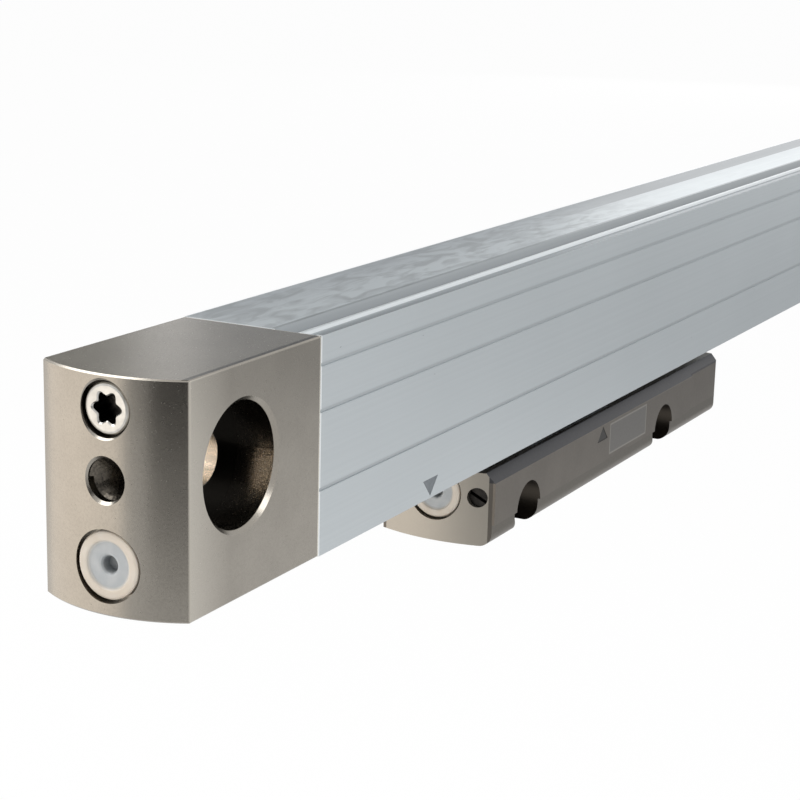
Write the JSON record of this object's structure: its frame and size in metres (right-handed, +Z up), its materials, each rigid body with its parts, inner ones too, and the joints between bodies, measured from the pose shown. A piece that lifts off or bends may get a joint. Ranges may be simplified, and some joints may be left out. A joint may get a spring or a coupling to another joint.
{
  "type": "linear glass scale",
  "caption": "Sealed linear glass scale: aluminium profile with end blocks, and a mounting block below it whose blade moves a scanning carriage along the glass inside.",
  "frame": {"origin": "midway between the two fixing holes, on the rear mounting face", "axes": "+X along the travel from the near end to the far end, +Y towards the machine, +Z up"},
  "size_m": [0.358, 0.02, 0.041],
  "materials": {
    "profile_aluminium": "satin anodised",
    "scale_glass": "polished, with a fine graduation",
    "bed_elastomer": "matte",
    "seal_rubber": "matte",
    "block_metal": "fine blasted, nickel tone",
    "gasket_rubber": "matte",
    "screw_steel": "zinc plated",
    "plug_plastic": "translucent, semi-gloss",
    "head_metal": "fine blasted, nickel tone",
    "cover_aluminium": "satin",
    "board_laminate": "semi-gloss",
    "socket_plastic": "matte",
    "contact_brass": "plated",
    "blade_steel": "ground",
    "spring_steel": "polished",
    "lead_film": "semi-gloss",
    "carriage_metal": "as cast",
    "lamp_plastic": "clear moulded",
    "lens_glass": "polished",
    "sensor_plastic": "semi-gloss",
    "bearing_steel": "polished"
  },
  "bodies": {
    "scale_unit": {"housing_profile": "profile_aluminium", "glass_scale": "scale_glass", "scale_bed": "bed_elastomer", "sealing_lip_front": "seal_rubber", "sealing_lip_rear": "seal_rubber", "end_block_near": "block_metal", "end_block_far": "block_metal", "end_gasket_near": "gasket_rubber", "end_gasket_far": "gasket_rubber", "end_screw_near": "screw_steel", "end_screw_far": "screw_steel", "end_plug_near": "plug_plastic", "end_plug_far": "plug_plastic"},
    "scanning_head": {"mounting_block": "head_metal", "block_cover": "cover_aluminium", "interface_board": "board_laminate", "head_plug": "plug_plastic", "lock_screws": "screw_steel", "cable_socket": "socket_plastic", "socket_contacts": "contact_brass", "coupling_blade": "blade_steel", "blade_screws": "screw_steel", "coupling_wire": "spring_steel", "flex_lead": "lead_film", "carriage_frame": "carriage_metal", "spring_arm": "spring_steel", "lamp_holder": "cover_aluminium", "light_source": "lamp_plastic", "condenser_lens": "lens_glass", "scanning_reticle": "lens_glass", "photosensor": "sensor_plastic", "sensor_board": "board_laminate"},
    "face_roller_lower": {"face_roller_lower": "bearing_steel"},
    "face_roller_upper": {"face_roller_upper": "bearing_steel"},
    "face_roller_middle": {"face_roller_middle": "bearing_steel"},
    "edge_roller_near": {"edge_roller_near": "bearing_steel"},
    "edge_roller_far": {"edge_roller_far": "bearing_steel"},
    "pressure_roller": {"pressure_roller": "bearing_steel"}
  },
  "joints": [
    {"name": "head_slide", "type": "slide", "parent": "scale_unit", "child": "scanning_head", "axis": [1, 0, 0], "range_m": [-0.067, 0.163]},
    {"name": "face_roller_lower_spin", "type": "hinge", "parent": "scanning_head", "child": "face_roller_lower", "pos_m": [-0.069, -0.01302, -0.0031], "axis": [0, 0, 1], "continuous": true},
    {"name": "face_roller_upper_spin", "type": "hinge", "parent": "scanning_head", "child": "face_roller_upper", "pos_m": [-0.069, -0.01302, 0.0025], "axis": [0, 0, 1], "continuous": true},
    {"name": "face_roller_middle_spin", "type": "hinge", "parent": "scanning_head", "child": "face_roller_middle", "pos_m": [-0.027, -0.01302, -0.0003], "axis": [0, 0, 1], "continuous": true},
    {"name": "edge_roller_near_spin", "type": "hinge", "parent": "scanning_head", "child": "edge_roller_near", "pos_m": [-0.068, -0.0098, -0.00762], "axis": [0, 1, 0], "continuous": true},
    {"name": "edge_roller_far_spin", "type": "hinge", "parent": "scanning_head", "child": "edge_roller_far", "pos_m": [-0.028, -0.0098, -0.00762], "axis": [0, 1, 0], "continuous": true},
    {"name": "pressure_roller_spin", "type": "hinge", "parent": "scanning_head", "child": "pressure_roller", "pos_m": [-0.048, -0.00658, -0.0031], "axis": [0, 0, 1], "continuous": true}
  ],
  "couplings": [
    {"joint": "face_roller_lower_spin", "follows": "head_slide", "rad_per_m": 500},
    {"joint": "face_roller_upper_spin", "follows": "head_slide", "rad_per_m": 500},
    {"joint": "face_roller_middle_spin", "follows": "head_slide", "rad_per_m": 500},
    {"joint": "edge_roller_near_spin", "follows": "head_slide", "rad_per_m": -500},
    {"joint": "edge_roller_far_spin", "follows": "head_slide", "rad_per_m": -500},
    {"joint": "pressure_roller_spin", "follows": "head_slide", "rad_per_m": -500}
  ]
}
